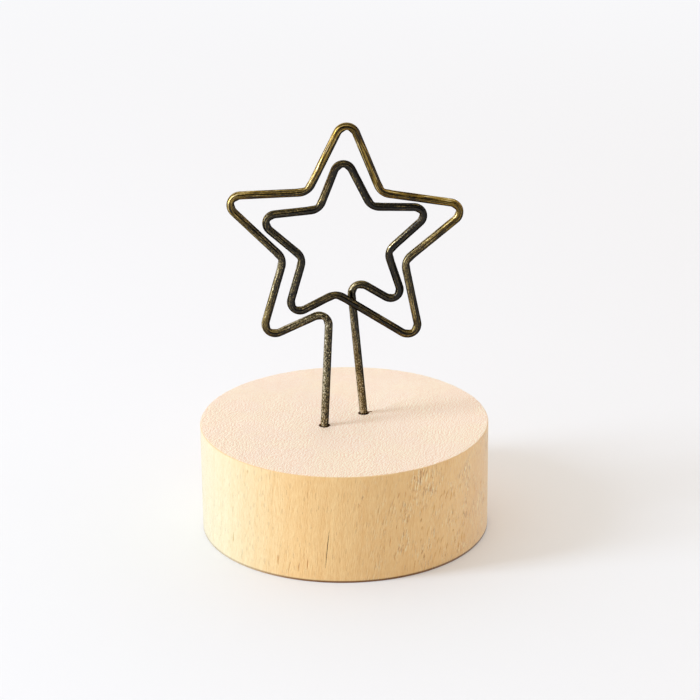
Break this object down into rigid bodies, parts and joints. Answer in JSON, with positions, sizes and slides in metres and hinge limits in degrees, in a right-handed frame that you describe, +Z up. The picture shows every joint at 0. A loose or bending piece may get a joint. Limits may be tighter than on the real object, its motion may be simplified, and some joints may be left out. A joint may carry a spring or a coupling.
{
  "type": "memo clip holder",
  "caption": "Desk memo clip: a wire bent into a star inside a star, on legs in a turned wooden disc; a card slips between the turns.",
  "frame": {"origin": "centre of the wooden disc's underside", "axes": "+Z up along the disc's axis; the star's plane is XZ and its front faces -Y"},
  "size_m": [0.04, 0.04, 0.0581],
  "materials": {
    "pale_wood": "bare pale wood, finely sanded: end grain on the top, upright grain round the side",
    "antique_bronze_wire": "iron wire plated antique bronze, dark brown, worn to gold on its outer faces",
    "clear_glue": "clear set adhesive, hidden in the holes"
  },
  "bodies": {
    "root": {"wood_base": "pale_wood", "star_wire": "antique_bronze_wire", "left_glue_plug": "clear_glue", "right_glue_plug": "clear_glue"}
  },
  "joints": []
}
